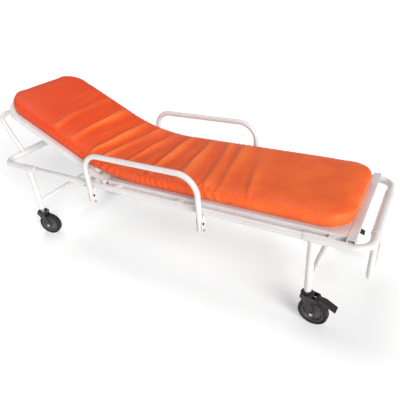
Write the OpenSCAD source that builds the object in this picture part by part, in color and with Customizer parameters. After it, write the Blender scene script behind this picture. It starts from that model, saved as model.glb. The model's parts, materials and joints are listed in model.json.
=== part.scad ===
// Ambulance cot: a tubular trolley on four swivel castors with a hinged backrest,
// folding side guards, a turning handle loop at each end and a one-piece mattress.
// Head end towards -X, patient's right side towards -Y, floor at z = 0.

/* [Frame] */
// Distance between the centrelines of the head and foot end bars
frame_len = 1950; // [1900:10:2050]
// Distance between the centrelines of the two side rails
rail_gap = 544; // [520:2:600]
// Height of the rail centreline above the floor
rail_h = 420; // [410:5:520]
// Outside diameter of the frame and leg tube
tube_d = 30; // [28:1:32]
// Wall of every tube
tube_wall = 2; // [1.5:0.25:3]
// Centreline radius of the frame's rounded corners
corner_r = 65; // [55:1:80]
// Distance of each leg from its end bar
leg_inset = 202; // [185:1:225]
// Height of the leg's lower end above the floor
leg_foot_h = 164; // [162:1:175]
// Outside diameter of the sleeve that joins a leg to its rail
sleeve_d = 36; // [34:0.5:40]
// Reach of that sleeve towards the head
sleeve_short = 32; // [24:1:40]
// Reach of that sleeve towards the foot
sleeve_long = 54; // [30:1:60]
// Distance past the leg at which rail and bow meet
joint_off = 10; // [0:1:20]
// Length of the plug inside the tube there
spigot_len = 80; // [40:1:120]
// Outside diameter of the lower cross tubes and the hinge cross tube
cross_d = 25; // [20:1:26]
// Height of the lower cross tubes above the floor
cross_h = 207; // [200:1:260]

/* [Deck] */
// Height of the bed sheet's top above the rail centreline
deck_rise = 30; // [28:1:36]
// Sheet thickness of the deck and backrest pans
sheet_t = 1.5; // [1:0.25:2]
// Depth of the deck's down-turned edge
deck_flange = 25; // [20:1:30]
// Gap between the deck's side and the inside of the rail
deck_gap = 4; // [4:0.5:8]
// Distance of the deck's foot edge from the foot end bar
deck_foot_inset = 85; // [80:1:110]
// Gap between the deck and the flat bar at its foot edge
foot_bar_gap = 2; // [1:0.5:4]
// Width of that flat bar
foot_bar_w = 30; // [20:1:36]
// Depth by which that bar is cut round the rails
foot_bar_bite = 2; // [1:0.5:4]
// Length of a spacer between deck and rail
spacer_len = 24; // [12:1:40]
// Height of a spacer
spacer_h = 12; // [8:1:16]
// Height of a spacer above the deck's lower edge
spacer_lift = 3; // [1:0.5:4]
// Distance of the first spacer from the deck's head edge
spacer_head_inset = 68; // [40:1:90]
// Place of the middle spacer, from the middle of the frame
spacer_mid_x = 193; // [100:1:260]
// Gap between the foot spacer and the sleeve of its leg
spacer_leg_gap = 1; // [1:0.5:6]
// Place of the first deck rib, from the middle of the frame
deck_rib_a = 200; // [120:1:260]
// Place of the second deck rib
deck_rib_b = 560; // [450:1:650]
// Width of the ribs under deck and backrest
rib_w = 25; // [15:1:40]
// Depth of those ribs
rib_h = 15; // [10:1:18]

/* [Backrest] */
// Distance of the backrest hinge from the head end bar
hinge_from_head = 723; // [718:1:760]
// Height of the hinge above the rail centreline
hinge_rise = 10; // [8:1:12]
// Length of the backrest from its hinge to its head edge
back_len = 688; // [620:1:692]
// Length of the backrest behind its hinge
back_heel = 18; // [15:1:20]
// Depth of the backrest's down-turned edge
back_flange = 30; // [28:1:32]
// Corner radius at the backrest's head edge
back_corner_r = 100; // [60:1:130]
// Angle at which the backrest stands
back_angle = 26.3; // [15:0.1:45]
// Largest angle of the backrest
back_max = 72; // [60:1:75]
// Distance from the hinge to the deck's head edge
deck_head_gap = 32; // [30:1:45]
// Length of the belt slots in the backrest
belt_slot_len = 54; // [30:1:60]
// Width of the belt slots
belt_slot_w = 20; // [10:1:24]
// Distance of the belt slots from the hinge
belt_slot_x = 55; // [45:1:90]
// Distance of the belt slots from the side of the backrest
belt_slot_y = 25; // [18:1:40]
// Place of the backrest's middle rib, from the hinge
back_rib_a = 290; // [220:1:340]
// Place of the backrest's upper rib, from the hinge
back_rib_b = 560; // [450:1:570]
// Diameter of the hinge rod
hinge_rod_d = 14; // [10:1:16]
// Rim of metal round the hinge rod in its ears and brackets
hinge_rim = 6; // [4:0.5:7]
// Rim of the lugs that hold the ends of the hinge rod
ear_rim = 4; // [3:0.5:6]
// Distance of the hinge cross tube from the hinge, towards the head
hinge_tube_off = 115; // [110:1:140]
// Rim of metal round the hinge cross tube in its brackets
hinge_tube_rim = 5; // [3:0.5:6]

/* [Quadrants] */
// Radius of the quadrant's curved slot
quad_r = 70; // [66:1:80]
// Width of the quadrant's curved band
quad_w = 28; // [22:1:30]
// Thickness of the quadrants and of the hinge brackets
quad_t = 5; // [4:0.5:8]
// Distance of the quadrant's inner face from the middle of the bed
quad_y = 130; // [110:1:160]
// Length of the quadrant's edge under the backrest
quad_strip = 110; // [90:1:130]
// Angle by which the band runs on past each end of the slot
quad_overrun = 9; // [7:1:12]
// Width of the quadrant's spokes
quad_spoke_w = 14; // [10:1:18]
// Diameter of the clamp bolt
clamp_d = 8; // [6:1:10]
// Rim of metal round the clamp bolt
clamp_rim = 7; // [5:0.5:8]
// Gap between clamp bolt and slot
clamp_slack = 0.3; // [0.2:0.1:0.5]
// Height of the clamp bolt's head and nut
clamp_nut_t = 6; // [4:0.5:8]
// Step from a clamp eye down to the head of its bolt
clamp_head_step = 2; // [1:0.5:3]
// Length of the clamp lever
lever_len = 80; // [50:1:100]
// Width of the clamp lever's hub
lever_w = 14; // [10:1:16]
// Angle by which the closed clamp lever points down
lever_dip = 20; // [0:1:40]

/* [Handles] */
// Distance of a handle's grip bar from the end bar that it turns on
handle_reach = 243; // [180:1:245]
// Outside diameter of the handle tube
handle_d = 25; // [20:1:28]
// Distance of each leg of a handle from the end of its turning sleeve
handle_inset = 18; // [15:1:40]
// Centreline radius of the handle's bends
handle_bend = 45; // [35:1:60]
// Outside diameter of the sleeve that turns on the end bar
turn_sleeve_d = 38; // [37:0.5:42]
// Wall of that sleeve
turn_sleeve_wall = 2; // [1.5:0.25:2]
// Length of that sleeve
turn_sleeve_len = 310; // [306:1:340]
// Length of each bush in the sleeve
bush_len = 30; // [15:1:50]
// Thickness of the bush's flange
bush_flange = 2; // [1:0.25:3]
// Angle by which the raised head handle leans outwards
handle_lean = 29.1; // [15:0.1:45]
// Width of the collars beside a turning sleeve
collar_w = 8; // [5:1:12]
// Step from a turning sleeve down to its collars and bush flanges
collar_step = 1; // [0.5:0.5:1]

/* [Guards] */
// Distance between the centrelines of a guard's two posts
guard_len = 610; // [540:1:660]
// Place of the guard's middle, from the middle of the frame
guard_mid_x = 5; // [-20:1:30]
// Height of the guard's top bar above the rail centreline
guard_rise = 175; // [150:1:220]
// Depth of the guard's pivot below the rail centreline
guard_drop = 75; // [70:1:90]
// Outside diameter of the guard tube
guard_d = 25; // [22:1:28]
// Centreline radius of the guard's bends
guard_bend = 90; // [60:1:120]
// Gap between a guard post and the rail
guard_gap = 2.5; // [2:0.5:6]
// Plate thickness of the guard brackets
bracket_t = 3; // [2:0.5:4]
// Diameter of the guard's pivot bolts
guard_bolt_d = 8; // [6:1:10]
// Height of the ball catch above the guard's pivot
catch_rise = 32; // [28:1:36]
// Step from the bracket cheek's round foot to its narrower top
catch_step = 3; // [2:0.5:4]
// Rim of the guards' bolt heads and nuts round the shank
bolt_rim = 3; // [2:0.5:4]
// Thickness of the guards' bolt heads and nuts
bolt_head_t = 5; // [4:0.5:6]
// Rim of a ball catch's cap
catch_rim = 2; // [1:0.5:3]

/* [Castors] */
// Wheel diameter
wheel_d = 125; // [115:1:125]
// Width of the tyre
wheel_w = 32; // [26:1:36]
// Thickness of the tyre's rubber
tyre_t = 15; // [10:1:18]
// Distance of the wheel axle behind the swivel axis
trail = 30; // [26:1:36]
// Gap between wheel and fork
fork_gap = 3; // [2:0.5:4]
// Plate thickness of the fork
fork_t = 5; // [3:0.5:6]
// Radius of the fork's crown
crown_r = 27; // [25:1:30]
// Gap between the wheel's top and the fork's crown
crown_gap = 5; // [4:0.5:6]
// Radius of the side plates' shoulder under the crown
fork_shoulder_r = 15; // [12:0.5:16]
// Drop of the bridge and shoulder below the top of the crown
fork_step = 4; // [2:0.5:6]
// Diameter of the wheel axle
axle_d = 10; // [8:1:12]
// Rim of the fork's ends round the axle
axle_rim = 10; // [8:0.5:11]
// Rim of the axle's head and nut round its shank
axle_head_rim = 3; // [2:0.5:4]
// Thickness of the axle's head and nut
axle_head_t = 5; // [4:0.5:6]
// Rim of the hub's boss round the axle
boss_rim = 8; // [6:0.5:10]
// Thickness of the hub's rim under the tyre
hub_rim_t = 5; // [4:0.5:6]
// Inset of the tyre's seat and of the hub's rim from the side of the tyre
tyre_inset = 2; // [1:0.5:3]
// Diameter of the swivel pin
swivel_pin_d = 12; // [10:1:14]
// Height of the stem's collar under the leg
stem_collar_h = 4; // [2:1:5]
// Height of the stem's nut
stem_nut_h = 11; // [8:1:12]
// Step from the leg's tube down to the stem nut
stem_nut_step = 1; // [0:0.5:3]
// Height of the swivel pin's end above the underside of the fork crown
pin_lift = 2; // [1:0.5:4]
// Length of the stem's plug inside the leg
stem_plug_len = 40; // [20:1:60]
// Way that the head castor on the right trails, turned from the foot end
swivel_head_right = 15; // [-180:1:180]
// Way that the head castor on the left trails
swivel_head_left = 6; // [-180:1:180]
// Way that the foot castor on the right trails
swivel_foot_right = -5; // [-180:1:180]
// Way that the foot castor on the left trails
swivel_foot_left = 3; // [-180:1:180]
// Distance of the brake pedal's pivot behind the wheel axle
pedal_pin_x = 10; // [8:1:14]
// Diameter of the brake pedal's pivot stubs
pedal_pin_d = 8; // [6:1:8]
// Length of the brake pedal from its pivot
pedal_len = 78; // [65:1:90]
// Fall of the brake pedal from its pivot to its tip
pedal_drop = 22; // [10:1:26]
// Clearance of the pedal's blade inside the fork
pedal_clear = 3; // [2:0.5:4]
// Half thickness of the pedal's blade
pedal_t = 5; // [4:0.5:6]
// Radius of the brake shoe's ends
shoe_r = 8; // [6:0.5:9]
// Rim of the fork's lugs round the pedal's pivot
lug_rim = 5; // [4:0.5:6]

/* [Mattress] */
// Mattress thickness in the middle
pad_t = 68; // [55:1:80]
// Mattress width
pad_w = 500; // [460:2:504]
// Corner radius of the mattress
pad_corner_r = 105; // [80:1:140]
// Fall of the crowned top from the middle to the edge
pad_crown = 8; // [4:1:12]
// Amount by which the sides draw in above and below their middle
pad_draw = 4; // [2:0.5:8]
// Radius along the sewn top edge
pad_top_r = 10; // [6:1:14]
// Radius along the bottom edge
pad_under_r = 6; // [4:1:10]
// Length of mattress that bends on each side of the hinge
pad_bend_len = 220; // [150:1:260]
// Gap between the bending length and the length on the backrest
pad_split = 0.4; // [0.3:0.1:1]
// Overhang of the mattress past the deck's foot edge
pad_foot_over = 17; // [0:1:25]
// Overhang of the mattress past the backrest's head edge
pad_head_over = 6; // [0:1:10]

/* [Clearances] */
// Radial gap of a part that is pushed or welded on a tube
seat_gap = 0.05; // [0.03:0.01:0.1]
// Radial gap of a running pin or bush
run_gap = 0.05; // [0.03:0.01:0.09]
// Gap between faces that move past each other
side_gap = 0.5; // [0.4:0.1:0.8]

/* [Hidden] */
$fn = 64;
// Extra length of a cut past the face that it opens
cut = 1;
tube_r = tube_d/2;
bore_r = tube_r - tube_wall;
rail_y = rail_gap/2;
end_x = frame_len/2;
leg_x = end_x - leg_inset;
joint_x = leg_x + joint_off;
cross_r = cross_d/2;
deck_top = rail_h + deck_rise;
deck_half = rail_y - tube_r - deck_gap;
pan_inner = deck_half - sheet_t;
hinge_x = -end_x + hinge_from_head;
hinge_z = rail_h + hinge_rise;
deck_x0 = hinge_x + deck_head_gap;
deck_x1 = end_x - deck_foot_inset;
foot_bar_x = deck_x1 + foot_bar_gap;
foot_bar_h = deck_rise - tube_r + foot_bar_bite;
spacer_foot_x = leg_x + sleeve_long + spacer_leg_gap + spacer_len/2;
spacer_xs = [deck_x0 + spacer_head_inset, spacer_mid_x, spacer_foot_x];
spacer_z = deck_top - deck_flange + spacer_lift;
back_top = deck_rise - hinge_rise;
back_low = back_top - back_flange;
rod_r = hinge_rod_d/2;
rod_end = deck_half + deck_gap - side_gap;
eye_r = rod_r + hinge_rim;
hinge_tube_x = hinge_x - hinge_tube_off;
hinge_tube_z = rail_h - tube_r;
clamp_r = clamp_d/2;
clamp_at = [hinge_x, hinge_z - quad_r];
bracket_y = quad_y - side_gap;
lever_y = bracket_y - quad_t - side_gap;
quad_first = -90;
quad_last = back_max - 90;
handle_r = handle_d/2;
turn_r = turn_sleeve_d/2;
turn_bore_r = turn_r - turn_sleeve_wall;
turn_half = turn_sleeve_len/2;
handle_y = turn_half - handle_inset;
guard_r = guard_d/2;
guard_y = rail_y + tube_r + guard_gap + guard_r;
guard_bolt_r = guard_bolt_d/2;
guard_xs = [guard_mid_x - guard_len/2, guard_mid_x + guard_len/2];
guard_pivot_z = rail_h - guard_drop;
cheek_in = guard_r + side_gap;
cheek_out = cheek_in + bracket_t;
wheel_r = wheel_d/2;
hub_r = wheel_r - tyre_t;
axle_r = axle_d/2;
fork_in = wheel_w/2 + fork_gap;
fork_out = fork_in + fork_t;
swivel_r = swivel_pin_d/2;
stem_nut_z = leg_foot_h - stem_collar_h - stem_nut_h;
crown_top = stem_nut_z - side_gap;
crown_low = wheel_d + crown_gap;
axle_at = [trail, wheel_r];
pedal_r = pedal_pin_d/2;
pedal_at = [trail + pedal_pin_x, crown_low + pedal_r];
pedal_half = fork_in - pedal_clear;
pad_edge_t = pad_t - pad_crown;
pad_half_y = pad_w/2 - pad_corner_r;
pad_bottom_r = pad_bend_len/tan(back_angle/2);
pad_near = back_top*tan(back_angle/2) + pad_bend_len;
// The origin stands under the middle of the whole cot, so the frame moves by half of
// what the raised handle reaches further than the foot end.
head_reach = end_x + handle_reach*sin(handle_lean) + handle_r;
foot_reach = end_x + turn_r;
frame_shift = (head_reach - foot_reach)/2;

// Colours of the painted steel, rubber, plastic and cloth
white_paint = [0.93, 0.92, 0.91];
zinc = [0.72, 0.73, 0.75];
dark_steel = [0.16, 0.16, 0.17];
black_plastic = [0.07, 0.07, 0.08];
grey_plastic = [0.33, 0.34, 0.36];
nylon = [0.88, 0.87, 0.83];
orange_cloth = [0.88, 0.33, 0.16];

// Puts a piece drawn about the middle of the frame in its place over the origin
module placed() {
  translate([frame_shift, 0, 0]) children();
}

// Puts a piece drawn on the level backrest, about its hinge, at the standing angle
module on_backrest() {
  translate([hinge_x, 0, hinge_z]) rotate([0, back_angle, 0]) children();
}

// A piece on the right and its mirror image on the left
module both_sides() {
  children();
  mirror([0, 1, 0]) children();
}

// Round bars along X and Y that start at the origin
module x_bar(r, len) {
  rotate([0, 90, 0]) cylinder(r = r, h = len);
}

module y_bar(r, len) {
  rotate([-90, 0, 0]) cylinder(r = r, h = len);
}

// Hexagon along Y that starts at the origin
module y_hex(r, len) {
  rotate([-90, 0, 0]) cylinder(r = r, h = len, $fn = 6);
}

// A flat shape drawn in X and Z, thickened from y0 to y1
module plate_xz(y0, y1) {
  translate([0, y1, 0]) rotate([90, 0, 0]) linear_extrude(y1 - y0) children();
}

// A flat shape drawn in Y and Z, thickened from x0 to x1
module plate_yz(x0, x1) {
  translate([x0, 0, 0]) rotate([90, 0, 90]) linear_extrude(x1 - x0) children();
}

// Two discs and the straight flanks that touch both
module link(p, rp, q, rq) {
  base = atan2(q[1] - p[1], q[0] - p[0]);
  lean = acos((rp - rq)/norm(q - p));
  up = [cos(base + lean), sin(base + lean)];
  down = [cos(base - lean), sin(base - lean)];
  translate(p) circle(rp);
  translate(q) circle(rq);
  polygon([p + rp*up, q + rq*up, q + rq*down, p + rp*down]);
}

// A band of a ring between two angles less than a half turn apart
module ring_band(r_in, r_out, a0, a1) {
  reach = 2*r_out;
  mid = (a0 + a1)/2;
  intersection() {
    difference() {
      circle(r_out);
      circle(r_in);
    }
    polygon([[0, 0], reach*[cos(a0), sin(a0)], reach*[cos(mid), sin(mid)], reach*[cos(a1), sin(a1)]]);
  }
}

// Both rails as cutters, for the pieces that seat on them
module rail_cut() {
  both_sides() translate([-end_x, -rail_y, rail_h]) x_bar(tube_r + seat_gap, frame_len);
}

// The foot bow's bent run, its open ends longer by over
module bow_run(r, over) {
  straight = end_x - corner_r - joint_x;
  both_sides() {
    translate([joint_x - over, -rail_y, rail_h]) x_bar(r, straight + over);
    translate([end_x - corner_r, -rail_y + corner_r, rail_h]) rotate([0, 0, -90])
      rotate_extrude(angle = 90) translate([corner_r, 0]) circle(r);
  }
  translate([end_x, -rail_y + corner_r, rail_h]) y_bar(r, rail_gap - 2*corner_r);
}

module bow() {
  difference() {
    bow_run(tube_r, 0);
    bow_run(bore_r, cut);
  }
}

module foot_bow() {
  color(white_paint) placed() bow();
}

module head_bow() {
  color(white_paint) placed() mirror([1, 0, 0]) bow();
}

module side_rail(side) {
  color(white_paint) placed() translate([-joint_x, side*rail_y, rail_h]) difference() {
    x_bar(tube_r, 2*joint_x);
    translate([-cut, 0, 0]) x_bar(bore_r, 2*(joint_x + cut));
  }
}

// Solid plugs inside the tube where rail and bow meet
module rail_spigots() {
  color(zinc) placed() both_sides() for (x = [-joint_x, joint_x])
    translate([x - spigot_len/2, -rail_y, rail_h]) x_bar(bore_r - seat_gap, spigot_len);
}

module leg(end, side) {
  color(white_paint) placed() translate([end*leg_x, side*rail_y, 0]) difference() {
    union() {
      translate([-sleeve_short, 0, rail_h]) x_bar(sleeve_d/2, sleeve_short + sleeve_long);
      translate([0, 0, leg_foot_h]) cylinder(r = tube_r, h = rail_h - leg_foot_h);
    }
    translate([-sleeve_short - cut, 0, rail_h])
      x_bar(tube_r + seat_gap, sleeve_short + sleeve_long + 2*cut);
    translate([0, 0, leg_foot_h - cut])
      cylinder(r = bore_r, h = rail_h - sleeve_d/2 - leg_foot_h + cut);
  }
}

module lower_cross_tube(end) {
  color(white_paint) placed() translate([end*leg_x, -rail_y, cross_h]) difference() {
    y_bar(cross_r, rail_gap);
    translate([0, -cut, 0]) y_bar(cross_r - tube_wall, rail_gap + 2*cut);
    for (y = [0, rail_gap]) translate([0, y, -cross_d]) cylinder(r = tube_r + seat_gap, h = 2*cross_d);
  }
}

// Folded pan: top sheet, two side edges and the foot edge, open at the head
module deck_pan() {
  color(white_paint) placed() difference() {
    translate([deck_x0, -deck_half, deck_top - deck_flange])
      cube([deck_x1 - deck_x0, 2*deck_half, deck_flange]);
    translate([deck_x0 - cut, -pan_inner, deck_top - deck_flange - cut])
      cube([deck_x1 - deck_x0 - sheet_t + cut, 2*pan_inner, deck_flange - sheet_t + cut]);
  }
}

// A hollow rib across a pan, its top against the sheet
module rib(x, top) {
  half = pan_inner - side_gap;
  translate([x - rib_w/2, -half, top - rib_h]) difference() {
    cube([rib_w, 2*half, rib_h]);
    translate([sheet_t, -cut, sheet_t]) cube([rib_w - 2*sheet_t, 2*(half + cut), rib_h - 2*sheet_t]);
  }
}

module deck_ribs() {
  color(white_paint) placed() for (x = [deck_rib_a, deck_rib_b]) rib(x, deck_top - sheet_t);
}

// Flat hollow bar that lies across both rails at the deck's foot edge
module deck_foot_bar() {
  color(white_paint) placed() difference() {
    translate([foot_bar_x, -rail_y, deck_top - foot_bar_h]) cube([foot_bar_w, rail_gap, foot_bar_h]);
    translate([foot_bar_x + tube_wall, -rail_y - cut, deck_top - foot_bar_h + tube_wall])
      cube([foot_bar_w - 2*tube_wall, rail_gap + 2*cut, foot_bar_h - 2*tube_wall]);
    rail_cut();
    bow_run(tube_r + seat_gap, 0);
  }
}

// Blocks that carry the deck's side edges on the rails
module deck_spacers() {
  color(white_paint) placed() difference() {
    both_sides() for (x = spacer_xs)
      translate([x - spacer_len/2, -rail_y, spacer_z]) cube([spacer_len, rail_y - deck_half, spacer_h]);
    rail_cut();
  }
}

// Tube under both rails that carries the hinge brackets
module hinge_cross_tube() {
  color(white_paint) placed() difference() {
    translate([hinge_tube_x, -rail_y, hinge_tube_z]) y_bar(cross_r, rail_gap);
    translate([hinge_tube_x, -rail_y - cut, hinge_tube_z]) y_bar(cross_r - tube_wall, rail_gap + 2*cut);
    rail_cut();
  }
}

// Lugs on the inside of the rails that hold the ends of the hinge rod
module hinge_ears() {
  inner = deck_half + side_gap;
  ear_r = rod_r + ear_rim;
  color(white_paint) placed() both_sides() difference() {
    plate_xz(-rail_y + tube_r/2, -inner) difference() {
      link([hinge_x, hinge_z], ear_r, [hinge_x, rail_h], ear_r);
      translate([hinge_x, hinge_z]) circle(rod_r + seat_gap);
    }
    rail_cut();
  }
}

// Plates on the hinge cross tube that hold the hinge rod and the clamp bolt
module hinge_brackets() {
  pivot = [hinge_x, hinge_z];
  tube = [hinge_tube_x, hinge_tube_z];
  tube_eye_r = cross_r + hinge_tube_rim;
  clamp_eye_r = clamp_r + clamp_rim;
  color(white_paint) placed() both_sides() plate_xz(-bracket_y, -bracket_y + quad_t) difference() {
    union() {
      link(pivot, eye_r, tube, tube_eye_r);
      link(pivot, eye_r, clamp_at, clamp_eye_r);
      link(tube, tube_eye_r, clamp_at, clamp_eye_r);
    }
    translate(pivot) circle(rod_r + seat_gap);
    translate(clamp_at) circle(clamp_r + seat_gap);
    translate(tube) circle(cross_r + seat_gap);
  }
}

module hinge_rod() {
  color(zinc) placed() translate([hinge_x, -rod_end, hinge_z]) y_bar(rod_r, 2*rod_end);
}

// Bolts through slot, bracket and lever, each with a round head and a nut
module clamp_bolts() {
  head = quad_y + quad_t + side_gap;
  tail = lever_y - lever_w - side_gap;
  color(zinc) placed() both_sides() translate([clamp_at[0], 0, clamp_at[1]]) {
    translate([0, -head, 0]) y_bar(clamp_r, head - tail);
    translate([0, -head - clamp_nut_t, 0]) y_bar(clamp_r + clamp_rim - clamp_head_step, clamp_nut_t);
    translate([0, -tail, 0]) y_hex(clamp_r + clamp_rim - clamp_head_step, clamp_nut_t);
  }
}

// Lever with a thick hub and a round grip that tightens a clamp bolt
module clamp_lever(side) {
  tip = clamp_at + lever_len*[cos(lever_dip), -sin(lever_dip)];
  grip_r = 9;
  arm_r = 6;
  arm_inset = lever_w/5;
  color(black_plastic) placed() mirror([0, side > 0 ? 1 : 0, 0]) difference() {
    union() {
      plate_xz(-lever_y, -lever_y + lever_w) {
        translate(clamp_at) circle(clamp_r + clamp_rim);
        translate(tip) circle(grip_r);
      }
      plate_xz(-lever_y + arm_inset, -lever_y + lever_w - arm_inset) link(clamp_at, grip_r, tip, arm_r);
    }
    translate([clamp_at[0], -lever_y - cut, clamp_at[1]]) y_bar(clamp_r + run_gap, lever_w + 2*cut);
  }
}

// Rings on the end bars that keep a turning sleeve in the middle
module handle_collars() {
  inner = turn_half + bush_flange + side_gap;
  color(white_paint) placed() for (x = [-end_x, end_x]) both_sides()
    translate([x, -inner - collar_w, rail_h]) difference() {
      y_bar(turn_r - collar_step, collar_w);
      translate([0, -cut, 0]) y_bar(tube_r + seat_gap, collar_w + 2*cut);
    }
}

// Folded channel under the rail, open outwards, that takes the foot of a guard post
module guard_bracket() {
  low = guard_pivot_z - cheek_in;
  top = rail_h - tube_r/3;
  web_y = guard_y - cheek_in;
  pivot = [-guard_y, guard_pivot_z];
  catch = pivot + [0, catch_rise];
  cheek_top_r = cheek_in - catch_step;
  difference() {
    union() {
      translate([-cheek_out, -web_y, low]) cube([2*cheek_out, bracket_t, top - low]);
      for (x = [-cheek_out, cheek_in]) plate_yz(x, x + bracket_t) {
        link(pivot, cheek_in, catch, cheek_top_r);
        link(catch, cheek_top_r, [-web_y - bracket_t, top - bracket_t], bracket_t);
        translate([-guard_y, low]) square([cheek_in, catch_rise + cheek_in]);
        translate([-web_y - bracket_t, low]) square([bracket_t, top - low]);
      }
    }
    translate([-cheek_out - cut, -guard_y, guard_pivot_z])
      x_bar(guard_bolt_r + seat_gap, 2*(cheek_out + cut));
    translate([cheek_in - cut, -guard_y, guard_pivot_z + catch_rise])
      x_bar(guard_bolt_r + seat_gap, bracket_t + 2*cut);
    translate([-cheek_out - cut, -rail_y, rail_h]) x_bar(tube_r + seat_gap, 2*(cheek_out + cut));
  }
}

module guard_brackets() {
  color(white_paint) placed() both_sides() for (x = guard_xs) translate([x, 0, 0]) guard_bracket();
}

module guard_bolts() {
  color(zinc) placed() both_sides() for (x = guard_xs) translate([x, -guard_y, guard_pivot_z]) {
    translate([-cheek_out, 0, 0]) x_bar(guard_bolt_r, 2*cheek_out);
    translate([cheek_out, 0, 0]) x_bar(guard_bolt_r + bolt_rim, bolt_head_t);
    translate([-cheek_out - bolt_head_t, 0, 0]) rotate([0, 0, -90])
      y_hex(guard_bolt_r + bolt_rim, bolt_head_t);
  }
}

// Spring ball catches in the brackets that hold a guard upright
module guard_catches() {
  color(dark_steel) placed() both_sides() for (x = guard_xs)
    translate([x + cheek_in, -guard_y, guard_pivot_z + catch_rise]) {
      x_bar(guard_bolt_r, bracket_t);
      translate([bracket_t, 0, 0]) x_bar(guard_bolt_r + catch_rim, bracket_t);
    }
}

// Plug, collar, nut and swivel pin at the foot of each leg
module castor_stems() {
  pin_low = crown_low + pin_lift;
  color(zinc) placed() both_sides() for (x = [-leg_x, leg_x]) translate([x, -rail_y, 0]) {
    translate([0, 0, leg_foot_h]) cylinder(r = bore_r - seat_gap, h = stem_plug_len);
    translate([0, 0, leg_foot_h - stem_collar_h]) cylinder(r = tube_r, h = stem_collar_h);
    translate([0, 0, stem_nut_z]) cylinder(r = tube_r - stem_nut_step, h = stem_nut_h, $fn = 6);
    translate([0, 0, pin_low]) cylinder(r = swivel_r, h = stem_nut_z - pin_low);
  }
}

// Edge of the mattress, from its under-face to the level middle: round under-edge, side that
// bellies between its seams, round sewn top edge and the rise of the crown
function pad_rim() =
  let (steps = 5,
    side_r = pad_corner_r - pad_draw,
    side_top = pad_edge_t - pad_top_r,
    top_r = side_r - pad_top_r,
    under = [for (i = [0:steps]) let (a = 90*i/steps)
      [side_r - pad_under_r + pad_under_r*sin(a), pad_under_r - pad_under_r*cos(a)]],
    belly = [for (i = [1:2*steps - 1]) let (t = i/steps - 1)
      [side_r + pad_draw*(1 - t*t), pad_under_r + (side_top - pad_under_r)*(t + 1)/2]],
    seam = [for (i = [0:steps]) let (a = 90*i/steps)
      [top_r + pad_top_r*cos(a), side_top + pad_top_r*sin(a)]],
    crown = [for (i = [1:2*steps]) let (t = 1 - i/(2*steps))
      [top_r*t, pad_edge_t + pad_crown*(1 - t*t)]])
  concat(under, belly, seam, crown);

module pad_edge() {
  polygon(concat([[0, 0]], pad_rim()));
}

// Whole cross-section of the mattress
module pad_section() {
  rim = pad_rim();
  last = len(rim) - 1;
  right = [for (p = rim) [pad_half_y + p[0], p[1]]];
  left = [for (i = [last:-1:0]) [-pad_half_y - rim[i][0], rim[i][1]]];
  polygon(concat(right, left));
}

// A length of mattress on z = 0, from x0 to its round end at x1
module pad_half(x0, x1) {
  inner = x1 - pad_corner_r;
  plate_yz(x0, inner) pad_section();
  translate([inner, 0, 0]) plate_xz(-pad_half_y, pad_half_y) pad_edge();
  translate([inner, pad_half_y, 0]) rotate_extrude(angle = 90) pad_edge();
  translate([inner, -pad_half_y, 0]) rotate([0, 0, -90]) rotate_extrude(angle = 90) pad_edge();
}

module mattress_foot() {
  color(orange_cloth) placed() translate([hinge_x, 0, deck_top])
    pad_half(pad_near, deck_x1 - hinge_x + pad_foot_over);
}

// The stretch over the hinge, an arc that meets the level and the raised length
module mattress_fold() {
  color(orange_cloth) placed() translate([hinge_x + pad_near, 0, deck_top + pad_bottom_r])
    rotate([90, 0, 0]) rotate([0, 0, -90 - back_angle]) rotate_extrude(angle = back_angle, $fn = 256)
      translate([pad_bottom_r, 0]) rotate(90) pad_section();
}

module mattress_head() {
  color(orange_cloth) placed() on_backrest() translate([0, 0, back_top]) mirror([1, 0, 0])
    pad_half(pad_near + pad_split, back_len + pad_head_over);
}

// Outline of the backrest pan, its round end at the head, drawn in by inset
module back_outline(inset) {
  r = back_corner_r - inset;
  half = deck_half - inset;
  head = back_len - inset;
  translate([r - head, -half]) square([head - r + back_heel, 2*half]);
  translate([-head, r - half]) square([r, 2*(half - r)]);
  for (side = [-1, 1]) translate([r - head, side*(half - r)]) circle(r);
}

// Slot with round ends
module belt_slot() {
  run = belt_slot_len - belt_slot_w;
  translate([-run/2, -belt_slot_w/2]) square([run, belt_slot_w]);
  for (x = [-run/2, run/2]) translate([x, 0]) circle(belt_slot_w/2);
}

// Folded pan with round head corners, open at the heel
module backrest_pan() {
  color(white_paint) placed() on_backrest() difference() {
    translate([0, 0, back_low]) linear_extrude(back_flange) back_outline(0);
    translate([0, 0, back_low - cut]) linear_extrude(back_flange - sheet_t + cut) union() {
      back_outline(sheet_t);
      translate([0, -pan_inner]) square([back_heel + cut, 2*pan_inner]);
    }
    both_sides() translate([-belt_slot_x, -deck_half + belt_slot_y, back_low])
      linear_extrude(back_flange + cut) belt_slot();
    translate([0, -deck_half - cut, 0]) y_bar(rod_r + run_gap, 2*(deck_half + cut));
  }
}

module backrest_ribs() {
  color(white_paint) placed() on_backrest() for (x = [back_rib_a, back_rib_b]) rib(-x, back_top - sheet_t);
}

// Plates under the backrest with a curved slot about the hinge for the clamp bolt
module quadrants() {
  slot_r = clamp_r + clamp_slack;
  tail = [-quad_strip + rod_r, back_top - sheet_t - rod_r];
  color(dark_steel) placed() on_backrest() both_sides() plate_xz(-quad_y - quad_t, -quad_y) difference() {
    union() {
      link([0, 0], eye_r, tail, rod_r);
      translate([tail[0], 0]) square([-tail[0], back_top - sheet_t]);
      ring_band(quad_r - quad_w/2, quad_r + quad_w/2, quad_first - quad_overrun, quad_last + quad_overrun);
      for (a = [quad_first - quad_overrun/2, quad_last - quad_overrun/2]) rotate(a)
        translate([0, -quad_spoke_w/2]) square([quad_r - quad_w/3, quad_spoke_w]);
    }
    circle(rod_r + run_gap);
    ring_band(quad_r - slot_r, quad_r + slot_r, quad_first, quad_last);
    for (a = [quad_first, quad_last]) rotate(a) translate([quad_r, 0]) circle(slot_r);
  }
}

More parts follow.
